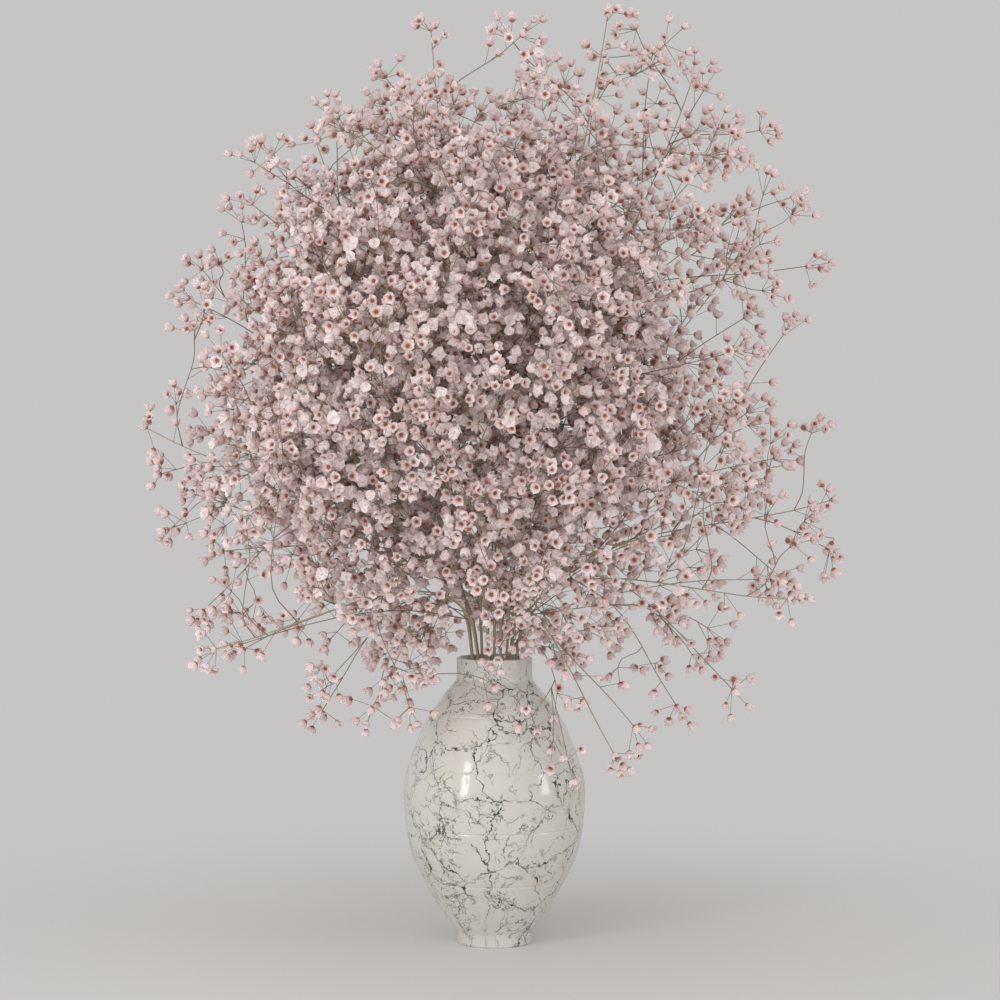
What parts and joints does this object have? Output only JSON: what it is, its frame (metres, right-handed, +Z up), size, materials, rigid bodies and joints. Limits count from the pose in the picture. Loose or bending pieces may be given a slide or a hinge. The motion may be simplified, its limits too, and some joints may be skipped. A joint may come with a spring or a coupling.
{
  "type": "gypsophila in vase",
  "caption": "Airy dried gypsophila bouquet of fine branching stems with small pink bell-shaped florets, standing in a tall egg-shaped glazed ceramic vase with a narrow neck.",
  "frame": {"origin": "centre of the vase's flat underside", "axes": "+Z up along the vase's axis of turning, -Y towards the front"},
  "size_m": [0.6117, 0.5627, 0.809],
  "materials": {
    "vase_glaze": "gloss",
    "dried_stem": "matte",
    "petal": "matte"
  },
  "bodies": {
    "root": {"vase": "vase_glaze", "stem_01": "dried_stem", "stem_02": "dried_stem", "stem_03": "dried_stem", "stem_04": "dried_stem", "stem_05": "dried_stem", "stem_06": "dried_stem", "stem_07": "dried_stem", "stem_08": "dried_stem", "stem_09": "dried_stem", "stem_10": "dried_stem", "stem_11": "dried_stem", "stem_12": "dried_stem", "stem_13": "dried_stem", "stem_14": "dried_stem", "stem_15": "dried_stem", "stem_16": "dried_stem", "stem_17": "dried_stem", "stem_18": "dried_stem"}
  },
  "joints": []
}
